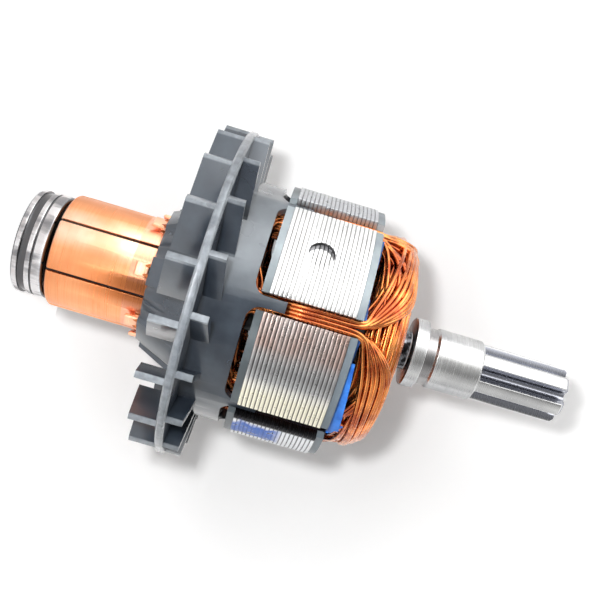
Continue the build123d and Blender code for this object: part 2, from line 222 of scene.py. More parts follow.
white = background(tree, (1, 1, 1), 1)
soft_light = background(tree, (0.95, 0.97, 1.0), 0.45)
daylight = zones(tree, round_angle, [(-180, 0.4), (-90, 1.0), (0, 0.7), (90, 0.2), (180, 0.3)])
tree.links.new(daylight, soft_light.inputs["Color"])
reflected = background(tree, (1, 1, 1), 4.6)
ring = zones(tree, round_angle, [
    (-180, 0.10), (-140, 0.06), (-110, 0.11), (-90, 0.34), (-70, 0.85), (-42, 0.85), (-24, 0.32), (-6, 0.11),
    (28, 0.06), (48, 0.13), (72, 0.19), (95, 0.17), (120, 0.12), (150, 0.10)])
tree.links.new(ring, reflected.inputs["Color"])

surroundings = mixed(tree, rays.outputs["Is Glossy Ray"], soft_light, reflected)
surroundings = mixed(tree, rays.outputs["Is Transmission Ray"], surroundings, white)
surroundings = mixed(tree, rays.outputs["Is Camera Ray"], surroundings, white)
tree.links.new(surroundings.outputs[0], output.inputs["Surface"])
print("world has", len(tree.nodes), "nodes")

# %% [markdown]
# ## Two lamps
#
# One small lamp stands beside the camera, a little up and to the left. Light that spreads from there throws
# the same short shadow down and to the right all round the rotor. A second one, a sun, comes from the top of
# the picture and models the fan. Neither shows in the metal, which has the ring of zones to mirror.


# %% Add the lamps
def add_lamp(name, kind, power):
    """A lamp that no metal mirrors."""
    data = bpy.data.lights.new(name, kind)
    data.energy = power
    lamp = bpy.data.objects.new(name, data)
    lamp.visible_glossy = False
    bpy.context.scene.collection.objects.link(lamp)
    return lamp


front_lamp = add_lamp("front_lamp", "POINT", 0.62)
front_lamp.location = camera_place + 13 * mm * image_up - 13 * mm * image_right
front_lamp.data.shadow_soft_size = 6 * mm
top_lamp = add_lamp("top_lamp", "SUN", 0.55)
top_lamp.data.angle = math.radians(25)
shining = 0.75 * sight - 0.8 * image_up + 0.1 * image_right
top_lamp.rotation_euler = shining.to_track_quat("-Z", "Y").to_euler()
print("lamps:", front_lamp.name, top_lamp.name)

# %% [markdown]
# ## The ground
#
# In the photograph the rotor lies on white paper, and in this frame it stands on its bearing. So there are
# two stage pieces: a pale floor under the bearing, and a sheet of paper close behind the fan that catches the
# shadow. The paper is seen from its front only, so that it never hides the rotor in a view from behind.


# %% The white paper's material
def paper_material(name, glow, one_sided):
    """Matt white paper that glows for the eye and in reflections, more so where the lamp's light is weak."""
    material = bpy.data.materials.new(name)
    material.use_nodes = True
    tree = material.node_tree
    tree.nodes.clear()
    end = tree.nodes.new("ShaderNodeOutputMaterial")
    matt = tree.nodes.new("ShaderNodeBsdfDiffuse")
    matt.inputs["Color"].default_value = (0.82, 0.82, 0.82, 1)

    from_middle = tree.nodes.new("ShaderNodeVectorMath")
    from_middle.operation = "LENGTH"
    tree.links.new(tree.nodes.new("ShaderNodeTexCoord").outputs["Object"], from_middle.inputs[0])
    level = rescaled(tree, from_middle.outputs["Value"], 35 * mm, 95 * mm, glow, glow + 0.45)
    rays = tree.nodes.new("ShaderNodeLightPath")
    seen = calculated(tree, "MAXIMUM", rays.outputs["Is Camera Ray"], rays.outputs["Is Glossy Ray"])
    light = tree.nodes.new("ShaderNodeEmission")
    tree.links.new(calculated(tree, "MULTIPLY", seen, level), light.inputs["Strength"])

    sheet = tree.nodes.new("ShaderNodeAddShader")
    tree.links.new(matt.outputs[0], sheet.inputs[0])
    tree.links.new(light.outputs[0], sheet.inputs[1])
    if one_sided:
        side = tree.nodes.new("ShaderNodeNewGeometry")
        clear = tree.nodes.new("ShaderNodeBsdfTransparent")
        sheet = mixed(tree, side.outputs["Backfacing"], sheet, clear)
    tree.links.new(sheet.outputs[0], end.inputs["Surface"])
    return material


floor_paper = paper_material("floor_paper", 0.7, False)
back_paper = paper_material("back_paper", 0.14, True)
print("papers:", floor_paper.name, back_paper.name)

# %% [markdown]
# The floor lies a hair under the bearing and throws no shadow. The sheet stands just clear of the fan.


# %% Lay the floor and stand the paper behind the fan
def add_stage(name, size, place, rotation, material):
    """A flat square of the stage."""
    bpy.ops.mesh.primitive_plane_add(size=size, location=place, rotation=rotation)
    sheet = bpy.context.object
    sheet.name = name
    sheet.data.materials.append(material)
    return sheet


paper_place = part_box("fan")[1].x + 0.6 * mm
floor = add_stage("floor", 0.9, (0, 0, -0.02 * mm), (0, 0, 0), floor_paper)
floor.visible_shadow = False
paper = add_stage("paper", 0.4, (0, paper_place, 45 * mm), (math.pi / 2, 0, 0), back_paper)
print("paper stands at", round(paper_place / mm, 1), "mm behind the shaft")

# %% [markdown]
# ## Helpers for finishes
#
# Every finish starts from the Principled shader and reads Object coordinates, so a pattern stays on its piece
# when the piece turns. A noise can be stretched along each axis, a ramp turns it into two colours, and a bump
# raises the surface by it.


# %% Helpers: a finish, a noise, a ramp, a bump
def finish_material(name, colour, metallic, roughness):
    """A new material with its Principled shader set to plain values."""
    material = bpy.data.materials.new(name)
    material.use_nodes = True
    shader = material.node_tree.nodes["Principled BSDF"]
    shader.inputs["Base Color"].default_value = (*colour, 1)
    shader.inputs["Metallic"].default_value = metallic
    shader.inputs["Roughness"].default_value = roughness
    return material, material.node_tree, shader


def noise(tree, scale, stretch=(1, 1, 1), detail=3):
    """A noise on Object coordinates; scale counts patches per metre, stretch squeezes it along each axis."""
    coords = tree.nodes.new("ShaderNodeTexCoord")
    mapping = tree.nodes.new("ShaderNodeMapping")
    mapping.inputs["Scale"].default_value = stretch
    texture = tree.nodes.new("ShaderNodeTexNoise")
    texture.inputs["Scale"].default_value = scale
    texture.inputs["Detail"].default_value = detail
    tree.links.new(coords.outputs["Object"], mapping.inputs["Vector"])
    tree.links.new(mapping.outputs["Vector"], texture.inputs["Vector"])
    return texture.outputs["Fac"]


def ramp(tree, value, low, high, first, second):
    """Colours from first to second while the value goes from low to high."""
    node = tree.nodes.new("ShaderNodeValToRGB")
    node.color_ramp.elements[0].position = low
    node.color_ramp.elements[1].position = high
    node.color_ramp.elements[0].color = (*first, 1)
    node.color_ramp.elements[1].color = (*second, 1)
    tree.links.new(value, node.inputs["Fac"])
    return node.outputs["Color"]


def add_bump(tree, shader, value, height):
    """Raise the surface by the value, height metres at most."""
    node = tree.nodes.new("ShaderNodeBump")
    node.inputs["Distance"].default_value = height
    tree.links.new(value, node.inputs["Height"])
    tree.links.new(node.outputs["Normal"], shader.inputs["Normal"])


print("helpers for finishes ready")

# %% [markdown]
# Stains and wear lie over that colour like coats of paint. Each coat has a share between 0 and 1 that says
# where it lies: above or below an edge, in a band between two edges, or where a noise is strong. The edges
# are heights and distances from the shaft in mm, or angles round it in degrees.


# %% Helpers: the place in a piece, its shares, coats of colour
def place_in_piece(tree):
    """Three values of a place in the piece: its height and distance from the shaft in mm, and its angle."""
    coords = tree.nodes.new("ShaderNodeTexCoord").outputs["Object"]
    scaled = tree.nodes.new("ShaderNodeVectorMath")
    scaled.operation = "SCALE"
    scaled.inputs["Scale"].default_value = 1 / mm
    tree.links.new(coords, scaled.inputs[0])
    split = tree.nodes.new("ShaderNodeSeparateXYZ")
    tree.links.new(scaled.outputs["Vector"], split.inputs[0])
    flat = tree.nodes.new("ShaderNodeVectorMath")
    flat.operation = "MULTIPLY"
    flat.inputs[1].default_value = (1, 1, 0)
    tree.links.new(scaled.outputs["Vector"], flat.inputs[0])
    distance = tree.nodes.new("ShaderNodeVectorMath")
    distance.operation = "LENGTH"
    tree.links.new(flat.outputs["Vector"], distance.inputs[0])
    return split.outputs["Z"], distance.outputs["Value"], angle_round_shaft(tree, coords)


def above(tree, value, edge, soft):
    """A share that goes from 0 to 1 where the value passes an edge."""
    return rescaled(tree, value, edge - soft, edge + soft, 0, 1)


def below(tree, value, edge, soft):
    """A share that goes from 1 to 0 where the value passes an edge."""
    return rescaled(tree, value, edge - soft, edge + soft, 1, 0)


def band(tree, value, low, high, soft):
    """A share that is 1 while the value lies between low and high, with soft edges."""
    return calculated(tree, "MINIMUM", above(tree, value, low, soft), below(tree, value, high, soft))


def overlap(tree, share, *others):
    """The product of several shares, which is where all of them hold."""
    for other in others:
        share = calculated(tree, "MULTIPLY", share, other)
    return share


def painted(tree, colour, *coats):
    """A colour with coats laid over it in their order. A coat is a share with a colour, plain or a node's."""
    for share, coat in coats:
        node = tree.nodes.new("ShaderNodeMix")
        node.data_type = "RGBA"
        tree.links.new(share, node.inputs["Factor"])
        tree.links.new(colour, node.inputs["A"])
        if isinstance(coat, bpy.types.NodeSocket):
            tree.links.new(coat, node.inputs["B"])
        else:
            node.inputs["B"].default_value = (*coat, 1)
        colour = node.outputs["Result"]
    return colour


print("helpers for coats ready")

# %% [markdown]
# ## Steel
#
# The shaft is turned and then ground, and fine lines run round it. The spaces of the pinion are painted
# darker as painted shade between the teeth, and the undercut beside the seat is darker grey. Dark varnish
# has run onto the neck between the winding and the collar. Two sides of the shaft, above and below, carry
# a grey painted shade that darkens their reflections. The bearing's ring has streaks of painted dark
# reflection, and it is darker in its grooves.


# %% Ground and turned steel
def turned_steel(name, light, shade, roughness, line_height):
    """Steel with fine turning lines round Z and soft grey clouds."""
    material, tree, shader = finish_material(name, light, 1.0, roughness)
    clouds = noise(tree, 260, (1, 1, 0.5))
    lines = noise(tree, 60, (1, 1, 160), 2)
    colour = ramp(tree, clouds, 0.35, 0.65, shade, light)
    streaked = rescaled(tree, lines, 0.3, 0.7, roughness - 0.06, roughness + 0.08)
    tree.links.new(streaked, shader.inputs["Roughness"])
    add_bump(tree, shader, lines, line_height)
    return material, tree, shader, colour


shaft_steel, tree, shader, colour = turned_steel(
    "shaft_steel", (0.78, 0.78, 0.77), (0.60, 0.60, 0.60), 0.24, 0.002 * mm)
height, distance, angle = place_in_piece(tree)
neck_start = winding_top / mm - 3
collar_start = bottom("shaft") / mm + 63.0
undercut = (66.0, 67.6)
pinion_start = 75.6
tooth_foot = 4.4
clouded = rescaled(tree, noise(tree, 330, (1, 1, 0.6)), 0.35, 0.6, 0.6, 1.0)
# Painted shade: the shaft is painted greyer above and below by its angle, darkening its reflections.
upper_painted_shade = overlap(tree, rescaled(tree, angle, -42, -18, 0.62, 0.0), clouded)
lower_painted_shade = overlap(tree, rescaled(tree, angle, 30, 58, 0.0, 0.72), clouded)
# Painted shade: the spaces between the pinion's teeth are painted darker.
painted_tooth_shade = overlap(tree, above(tree, height, pinion_start - 0.1, 0.05), below(tree, distance, tooth_foot, 0.08))
varnish = ramp(tree, noise(tree, 1100), 0.42, 0.62, (0.012, 0.011, 0.012), (0.22, 0.23, 0.25))
colour = painted(
    tree, colour,
    (upper_painted_shade, (0.30, 0.30, 0.31)),
    (lower_painted_shade, (0.22, 0.23, 0.25)),
    (painted_tooth_shade, (0.34, 0.35, 0.39)),
    (band(tree, height, *undercut, 0.12), (0.34, 0.33, 0.33)),
    (band(tree, height, neck_start, collar_start, 0.1), varnish))
tree.links.new(colour, shader.inputs["Base Color"])

bearing_steel, tree, shader, colour = turned_steel(
    "bearing_steel", (0.86, 0.86, 0.87), (0.52, 0.50, 0.50), 0.16, 0.002 * mm)
height, distance, angle = place_in_piece(tree)
# Painted reflection: streaks of darker colour along the ring stand in for dark reflections.
dark_reflection_streaks = rescaled(tree, noise(tree, 420, (1, 1, 0.25), 4), 0.42, 0.56, 0.85, 0.0)
grooves = band(tree, distance, 7.6, 8.42, 0.03)
colour = painted(tree, colour, (dark_reflection_streaks, (0.20, 0.20, 0.21)), (grooves, (0.11, 0.11, 0.115)))
tree.links.new(colour, shader.inputs["Base Color"])
print("steel:", shaft_steel.name, bearing_steel.name)

# %% [markdown]
# ## Copper bars
#
# The brushes polish the bars in rings round the shaft and leave a thin brown film, while the band next to the
# hooks, where no brush runs, stays pinker and duller. The bars' upper edge is painted darker as painted shade,
# a painted highlight lies across one side, the lower bars are painted darker as painted shade towards the hub,
# and a band of painted shade lines the hooks' feet.

# %% Brushed copper
bar_copper, tree, shader = finish_material("bar_copper", (0.93, 0.45, 0.20), 1.0, 0.3)
height, distance, angle = place_in_piece(tree)
rings = noise(tree, 45, (1, 1, 120), 3)
clouds = noise(tree, 150)
brown_film = overlap(
    tree, rescaled(tree, clouds, 0.45, 0.7, 0.0, 0.6), rescaled(tree, rings, 0.3, 0.6, 0.5, 1))
# Painted shade: the bars' upper edge is painted darker by its angle.
edge_painted_shade = rescaled(tree, angle, -62, -46, 0.75, 0.0)
# Painted highlight: a pinkish white across one side of the bars, by angle.
painted_highlight = overlap(tree, band(tree, angle, -40, -10, 8), rescaled(tree, clouds, 0.4, 0.6, 0.9, 0.4))
beside_hooks = above(tree, height, hook_start / mm - 0.9, 0.1)
# Painted shade: the lower bars are painted darker by angle, more so towards the hub.
lower_bar_painted_shade = overlap(tree, band(tree, angle, 6, 34, 5), rescaled(tree, height, 8, 17, 0.15, 0.9))
# Painted shade: a dark band round the foot of each hook.
hook_foot_painted_shade = band(tree, distance, 9.29, 9.75, 0.04)
hooks = band(tree, distance, 9.75, 12, 0.04)
colour = painted(
    tree, ramp(tree, rings, 0.3, 0.7, (0.90, 0.36, 0.16), (0.98, 0.45, 0.22)),
    (brown_film, (0.78, 0.25, 0.09)),
    (edge_painted_shade, (0.66, 0.24, 0.08)),
    (painted_highlight, (1.0, 0.74, 0.56)),
    (beside_hooks, (0.93, 0.42, 0.26)),
    (lower_bar_painted_shade, (0.56, 0.17, 0.05)),
    (hook_foot_painted_shade, (0.20, 0.06, 0.02)),
    (hooks, (0.95, 0.50, 0.32)))
tree.links.new(colour, shader.inputs["Base Color"])
tree.links.new(rescaled(tree, rings, 0.3, 0.7, 0.26, 0.36), shader.inputs["Roughness"])
add_bump(tree, shader, rings, 0.0015 * mm)
print("copper:", bar_copper.name)

# %% [markdown]
# ## Moulded plastic
#
# The fan is a dark slate moulding with a soft sheen. Its rim and the outer ends of its blades have rubbed
# lighter, and dust sits in patches. The commutator's moulding is blacker and matt. On the side that is turned
# up, the fan's skirt and the insulators carry a lighter painted sheen, as if lit from above.

# %% Fan plastic, moulding, insulators and cage
rim_start = 26.1
skirt_start = 31.5


def moulded(name, colour, dusty, roughness, grain, gloss=0.0, painted_sheen=None, reach=0):
    """Moulded plastic, dusty in patches and with a fine grain. Its upper side may carry a painted sheen up to a
    reach.
    """
    material, tree, shader = finish_material(name, colour, 0.0, roughness)
    height, distance, angle = place_in_piece(tree)
    patches = noise(tree, 190, detail=4)
    skin = ramp(tree, patches, 0.42, 0.75, colour, dusty)
    if painted_sheen:
        front_face = above(tree, height, stack_front / mm - 0.2, 0.02)
        # Painted sheen: a lighter colour in patches on the upper side, by angle.
        upper_painted_sheen = overlap(
            tree, band(tree, angle, -62, -8, 6), above(tree, height, skirt_start, 0.8),
            below(tree, distance, reach, 0.1), rescaled(tree, patches, 0.35, 0.6, 0.55, 1.0))
        skin = painted(tree, skin, (front_face, (0.12, 0.145, 0.165)), (upper_painted_sheen, painted_sheen))
    rubbed = overlap(
        tree, above(tree, distance, rim_start, 0.1), rescaled(tree, noise(tree, 700), 0.3, 0.7, 0.4, 1.0))
    tree.links.new(painted(tree, skin, (rubbed, (0.20, 0.22, 0.24))), shader.inputs["Base Color"])
    worn = rescaled(tree, patches, 0.3, 0.7, roughness - 0.06, roughness + 0.14)
    tree.links.new(worn, shader.inputs["Roughness"])
    shader.inputs["Specular Tint"].default_value = (0.86, 0.94, 1.0, 1)
    shader.inputs["Coat Weight"].default_value = gloss
    shader.inputs["Coat Roughness"].default_value = 0.2
    add_bump(tree, shader, noise(tree, 2600, detail=2), grain)
    return material


fan_plastic = moulded(
    "fan_plastic", (0.013, 0.018, 0.027), (0.036, 0.046, 0.060), 0.30, 0.006 * mm, 1.0,
    (0.115, 0.13, 0.145), 19.9)
commutator_moulding = moulded(
    "commutator_moulding", (0.012, 0.011, 0.011), (0.05, 0.035, 0.03), 0.6, 0.01 * mm)
insulator_plastic = moulded(
    "insulator_plastic", (0.05, 0.06, 0.065), (0.12, 0.14, 0.15), 0.4, 0.01 * mm, 0.3,
    (0.31, 0.35, 0.37), 25)
cage_plastic = moulded("cage_plastic", (0.20, 0.14, 0.08), (0.30, 0.22, 0.14), 0.5, 0.01 * mm)
print("plastics: fan, moulding, insulators, cage")

# %% [markdown]
# ## Lamination steel
#
# The sheets are bare steel, ground on the outside after stacking, so they are bright with a satin edge. Their
# colour changes by the angle round the shaft. One pole has a brown stain, and across that pole lie painted
# shade and painted highlight as it catches the light: grey, then dark grey, then a warm white. The poles
# above and below are painted darker as painted shade. Dirt sits in the joint between two sheets, least of
# all on the bright pole.

# %% Lamination steel with its stains
lamination_steel, tree, shader = finish_material("lamination_steel", (0.80, 0.80, 0.79), 0.9, 0.32)
height, distance, angle = place_in_piece(tree)
over_rear = calculated(tree, "SUBTRACT", height, stack_rear / mm)
from_joint = calculated(tree, "PINGPONG", over_rear, sheet_thickness / mm / 2)
clouds = noise(tree, 240, (1, 1, 1.6))
patchy = rescaled(tree, noise(tree, 160), 0.35, 0.6, 0.5, 1.0)
brown = overlap(tree, band(tree, angle, -4, 17, 4), patchy)
dirt = overlap(
    tree, rescaled(tree, from_joint, 0.05, 0.13, 0.85, 0.0), rescaled(tree, angle, -6, -2, 0.6, 1.0))
# A brown stain, with bands of painted shade and painted highlight by angle round the shaft.
stains_and_painted_light = painted(
    tree, ramp(tree, clouds, 0.38, 0.7, (0.72, 0.72, 0.71), (0.92, 0.92, 0.91)),
    (band(tree, angle, -4, 30, 3), (0.58, 0.58, 0.58)),
    (brown, (0.40, 0.28, 0.24)),
    (band(tree, angle, 17, 27, 4), (0.30, 0.30, 0.30)),
    (band(tree, angle, 31, 49, 4), (0.88, 0.84, 0.68)),
    (band(tree, angle, 49, 100, 1), (0.72, 0.73, 0.75)),
    (band(tree, angle, -107, -55, 1), (0.50, 0.51, 0.53)),
    (dirt, (0.07, 0.07, 0.07)))
print("laminations:", lamination_steel.name)

# %% [markdown]
# Two marks lie on the stack. The drilled balance mark has a crescent of painted shade on its upper side, made
# from two discs that lie a little apart. The lower pole carries a smeared mark of blue paint beside a black
# band of painted shade at the slot's edge.

# %% The painted shade in the balance mark and at the slot, the blue paint
mark_angle, mark_height = -29.2, stack_rear / mm + 5.6
along_edge = calculated(
    tree, "MULTIPLY_ADD", angle, math.radians(1) * stack_radius / mm,
    -math.radians(mark_angle) * stack_radius / mm)
on_face = tree.nodes.new("ShaderNodeCombineXYZ")
tree.links.new(along_edge, on_face.inputs["X"])
tree.links.new(height, on_face.inputs["Y"])
from_mark = []
for shift in (0, 0.75):
    gap = tree.nodes.new("ShaderNodeVectorMath")
    gap.operation = "DISTANCE"
    gap.inputs[1].default_value = (shift, mark_height, 0)
    tree.links.new(on_face.outputs["Vector"], gap.inputs[0])
    from_mark.append(gap.outputs["Value"])
# Painted shade: a dark crescent inside the drilled balance mark.
painted_shade_crescent = overlap(
    tree, rescaled(tree, from_mark[0], 1.95, 2.05, 1, 0), rescaled(tree, from_mark[1], 1.85, 2.0, 0, 1))
smeared = calculated(tree, "MULTIPLY_ADD", noise(tree, 230, detail=5), 16, angle)
paint = overlap(
    tree, band(tree, smeared, 64, 78, 0.8), below(tree, height, stack_rear / mm + 7.0, 0.7),
    rescaled(tree, noise(tree, 900), 0.34, 0.44, 0.3, 1.0))
colour = painted(
    tree, stains_and_painted_light,
    # Painted shade: a near-black band along the slot between two poles.
    (band(tree, angle, 48, 54.5, 0.5), (0.015, 0.015, 0.017)),
    (painted_shade_crescent, (0.15, 0.15, 0.155)),
    (paint, (0.02, 0.13, 0.55)))
tree.links.new(colour, shader.inputs["Base Color"])
tree.links.new(rescaled(tree, paint, 0, 1, 0.9, 0.0), shader.inputs["Metallic"])
tree.links.new(rescaled(tree, noise(tree, 900), 0.35, 0.65, 0.26, 0.42), shader.inputs["Roughness"])
print("balance mark at", round(mark_height, 1), "mm,", mark_angle, "degrees")

# %% [markdown]
# ## Blue liner paper and enamelled wire
#
# The liner is a bright blue film with a slight gloss, painted near black inside the slots as painted shade. The
# wire is copper under clear enamel and varnish: orange, very glossy and darker in random patches, with painted
# shade darkening it near the end plate and in the slots.

# %% Liner and wire
liner_paper, tree, shader = finish_material("liner_paper", (0.03, 0.16, 0.62), 0.0, 0.35)
height, distance, angle = place_in_piece(tree)
blue = ramp(tree, noise(tree, 420), 0.35, 0.7, (0.015, 0.10, 0.45), (0.06, 0.28, 0.85))
# Painted shade: the liner is painted near black inside the slots.
liner_painted_shade = below(tree, height, plate_front / mm + 0.1, 0.05)
tree.links.new(painted(tree, blue, (liner_painted_shade, (0.006, 0.008, 0.012))), shader.inputs["Base Color"])
add_bump(tree, shader, noise(tree, 700), 0.03 * mm)

enamelled_copper, tree, shader = finish_material("enamelled_copper", (0.85, 0.30, 0.07), 1.0, 0.2)
shader.inputs["Coat Weight"].default_value = 0.5
shader.inputs["Coat Roughness"].default_value = 0.06
height, distance, angle = place_in_piece(tree)
enamel = ramp(tree, noise(tree, 210), 0.4, 0.62, (0.42, 0.08, 0.015), (0.92, 0.33, 0.08))
# Painted shade: the wire darkens near the end plate and down into the slots.
wire_painted_shade = rescaled(tree, height, stack_front / mm - 1, plate_front / mm + 1, 0.6, 0.0)
tree.links.new(painted(tree, enamel, (wire_painted_shade, (0.34, 0.08, 0.02))), shader.inputs["Base Color"])
tree.links.new(rescaled(tree, noise(tree, 1500), 0.35, 0.65, 0.14, 0.32), shader.inputs["Roughness"])
print("liner and wire ready")

# %% [markdown]
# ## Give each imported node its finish
#
# The record names a material slot for every node, so one table from slot to finish dresses them all.

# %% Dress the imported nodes
finishes = {
    "shaft_steel": shaft_steel,
    "bearing_steel": bearing_steel,
    "cage_plastic": cage_plastic,
    "commutator_moulding": commutator_moulding,
    "bar_copper": bar_copper,
    "fan_plastic": fan_plastic,
    "insulator_plastic": insulator_plastic,
    "lamination_steel": lamination_steel,
    "liner_paper": liner_paper,
    "enamelled_copper": enamelled_copper,
}
slot_of = {part["node"]: part["material_slot"] for part in frame["record"]["subparts"]}
body_of = {name: body for body, names in frame["record"]["behaviour"]["bodies"].items() for name in names}


def dress(piece, material):
    """Give a piece one material all over."""
    piece.data.materials.clear()
    piece.data.materials.append(material)


for name, node in nodes.items():
    dress(node, finishes[slot_of[name]])
print("dressed", len(nodes), "nodes")

# %% [markdown]
# ## Softer edges
#
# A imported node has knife-sharp edges, and no real piece has. A copy of its mesh is merged, its flat faces are
# joined again, and a small bevel catches the light along each edge. The copy then stands for the node. The
# photograph shows the bars 1.4 mm longer than the solids have them, with the hub starting that much later, so
# the corners at that end are moved before the bevel.


# %% Helpers: a merged copy, moved ends
def merged_copy(name, new_name, join_flat):
    """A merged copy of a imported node, free of its parent and marks, its flat faces joined if asked for."""
    bpy.ops.object.select_all(action="DESELECT")
    piece = nodes[name].copy()
    piece.data = nodes[name].data.copy()
    piece.name = new_name
    piece.parent = None
    for key in list(piece.keys()):
        del piece[key]
    bpy.context.scene.collection.objects.link(piece)
    piece.select_set(True)
    bpy.context.view_layer.objects.active = piece
    bpy.ops.object.mode_set(mode="EDIT")
    bpy.ops.mesh.select_all(action="SELECT")
    bpy.ops.mesh.remove_doubles(threshold=0.0005 * mm)
    if join_flat:
        bpy.ops.mesh.dissolve_limited(angle_limit=math.radians(0.6))
    bpy.ops.object.mode_set(mode="OBJECT")
    return piece


def moved_ends(piece, low, high, widest, rise):
    """Move the corners between two heights, inside a distance from the shaft, along the shaft."""
    for corner in piece.data.vertices:
        if low < corner.co.z < high and math.hypot(corner.co.x, corner.co.y) < widest:
            corner.co.z += rise


print("helpers for copies ready")

# %% [markdown]
# Each kind of piece has its own width of edge, in mm. The commutator's moulding has the finest.


# %% Copies with rounded edges
def soften(name, width):
    """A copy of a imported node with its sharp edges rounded; it takes the node's place."""
    piece = merged_copy(name, f"{name}_soft", join_flat=True)
    if name == "fan" or name.startswith("commutator"):
        moved_ends(piece, bar_end - 2.6 * mm, bar_end + 0.2 * mm, 12.2 * mm, longer_bars)
    bevel = piece.modifiers.new("edges", "BEVEL")
    bevel.width = width
    bevel.segments = 2
    bevel.limit_method = "ANGLE"
    bevel.angle_limit = math.radians(30)
    bevel.use_clamp_overlap = True
    bpy.ops.object.modifier_apply(modifier=bevel.name)
    bpy.ops.object.shade_smooth_by_angle(angle=math.radians(35))
    dress(piece, finishes[slot_of[name]])
    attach(piece, body_of[name])
    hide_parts(name)
    return piece


edge_widths = {"shaft": 0.12, "fan": 0.16, "bearing_outer_ring": 0.1, "bearing_inner_ring": 0.1}
edge_widths["commutator_core"] = 0.05
edge_widths.update({f"commutator_bar_{k + 1}": 0.12 for k in range(pole_count)})
edge_widths.update({f"lamination_{k + 1:02d}": 0.11 for k in range(sheet_count)})
softened = {name: soften(name, width * mm) for name, width in edge_widths.items()}
face_count = sum(len(piece.data.polygons) for piece in softened.values())
print("softened", len(softened), "pieces,", face_count, "faces")

# %% [markdown]
# ## The winding
#
# Seven coils lie in each other like a basket. Each coil fills half of two slots that are three apart. Outside
# the stack its wires leave the slot and lie as a ribbon on the rounded head of the winding. The head is
# described by shells, one inside the other. A place on a shell is an angle round the shaft and a climb, which
# goes from the end plate at 0 over the flat top at 90 degrees to the shaft at 180.

# %% Points on a shell of the winding's head
wire_radius = 0.34 * mm
core_radius = 10.0 * mm
shell_out = 8.1 * mm
shell_in = 5.0 * mm
shell_square = 0.62
shell_base = plate_front + wire_radius
shell_up = winding_top - 0.5 * mm - shell_base


def squared(value):
    """A cosine or sine raised to a power with its sign kept, which squares off an ellipse."""
    return math.copysign(abs(value) ** shell_square, value)


def on_shell(size, climb, angle):
    """A point on the shell of a size from 0 to 1, at a climb and an angle."""
    across = squared(math.cos(climb))
    radius = core_radius + size * across * (shell_out if across > 0 else shell_in)
    height = shell_base + size * shell_up * squared(math.sin(climb))
    return Vector((radius * math.cos(angle), radius * math.sin(angle), height))


print("the winding's head reaches", round((shell_base + shell_up + wire_radius) / mm, 2), "mm")

# %% [markdown]
# The coils were wound one after another. The first ones took the room beside the shaft, and the last one had
# to go round the outside. So each coil has its own shell, and its own climbs for the wire that lies lowest on
# the head and for the one that lies highest. Wires that lie high rise at once when they leave the slot, and
# the low ones first run along the plate, so the ribbon opens like a fan.

# %% The shape of each coil's ribbon
ribbons = {
    2: {"size": 0.80, "low": 60, "high": 120, "rise": 8, "low_rise": 20, "set_in": 2.0},
    5: {"size": 0.90, "low": 34, "high": 84, "rise": 34, "low_rise": 45, "set_in": 2.4},
    1: {"size": 0.86, "low": 40, "high": 96, "rise": 20, "low_rise": 45, "set_in": 2.4},
    3: {"size": 1.00, "low": 52, "high": 108, "rise": 7, "low_rise": 10, "set_in": 1.5},
    6: {"size": 0.93, "low": 8, "high": 98, "rise": 8, "low_rise": 45, "set_in": 1.3},
    4: {"size": 0.98, "low": 20, "high": 74, "rise": 23, "low_rise": 45, "set_in": 1.1},
    0: {"size": 1.00, "low": 14, "high": 56, "rise": 18, "low_rise": 45, "set_in": 1.1},
}
coil_span = 3 * pitch


def ribbon_climb(ribbon, share, away, lift):
    """The climb of the wire at a share of the ribbon's width, by the angle away from its slot."""
    away = math.degrees(away)
    high = ribbon["high"] * min(max(away - 2.5, 0) / ribbon["rise"], 1) ** 0.8
    low = lift * ribbon["low"] * min(max(away - 9, 0) / ribbon["low_rise"], 1)
    return math.radians(low + share * (high - low))


print("climbs at 20 degrees from the slot:", [
    round(math.degrees(ribbon_climb(ribbons[0], share, math.radians(20), 1))) for share in (0, 0.5, 1)])

# %% [markdown]
# A single wire is a closed loop: up one slot, over the front head, down the other slot, and over the rear
# head, which is the mirror image of the front. A few control points on a smooth NURBS curve are enough.

# %% One wire of a coil
skirt_room = 17.6 * mm


def slot_place(radius, across, height, slot):
    """A point in a slot: radius along the slot, across it, and a height."""
    angle = first_slot + slot * pitch
    out = Vector((math.cos(angle), math.sin(angle), 0))
    side = Vector((-math.sin(angle), math.cos(angle), 0))
    place = out * radius + side * across
    place.z = height
    return place


def head_route(coil, size, share, radius, across, wobble, lift):
    """The wire's way over the front head, from its first slot to its second."""
    points = []
    for done in (0.03, 0.06, 0.1, 0.16, 0.25, 0.37, 0.5, 0.63, 0.75, 0.84, 0.9, 0.94, 0.97):
        away = coil_span * min(done, 1 - done)
        climb = ribbon_climb(ribbons[coil], share, away, lift) + wobble * math.sin(9 * done + 40 * wobble)
        point = on_shell(size, climb, first_slot + coil * pitch + coil_span * done)
        slot, side = (coil, across) if done < 0.5 else (coil + 3, -across)
        mouth = slot_place(radius, side, shell_base + 0.5 * mm, slot)
        clear = min(math.degrees(away) / 14, 1.0)
        points.append(mouth.lerp(point, clear * (2 - clear)))
    return points


def mirrored(points):
    """The same points on the rear side of the stack, in reverse, drawn in to pass under the fan's skirt."""
    rear = []
    for point in reversed(points):
        inwards = min(1, skirt_room / math.hypot(point.x, point.y))
        rear.append(Vector((point.x * inwards, point.y * inwards, 2 * stack_middle - point.z)))
    return rear


def wire_route(coil, size, share, radius, across, wobble, lift):
    """All control points of one closed turn of wire."""
    front = head_route(coil, size, share, radius, across, wobble, lift)
    heights = (stack_rear + 4.2 * mm, plate_front - 3 * mm, plate_front - 0.5 * mm)
    up = [slot_place(radius, across, height, coil) for height in heights]
    down = [slot_place(radius, -across, height, coil + 3) for height in reversed(heights)]
    return front + down + mirrored(down[:2]) + mirrored(front) + mirrored(up[-2:]) + up


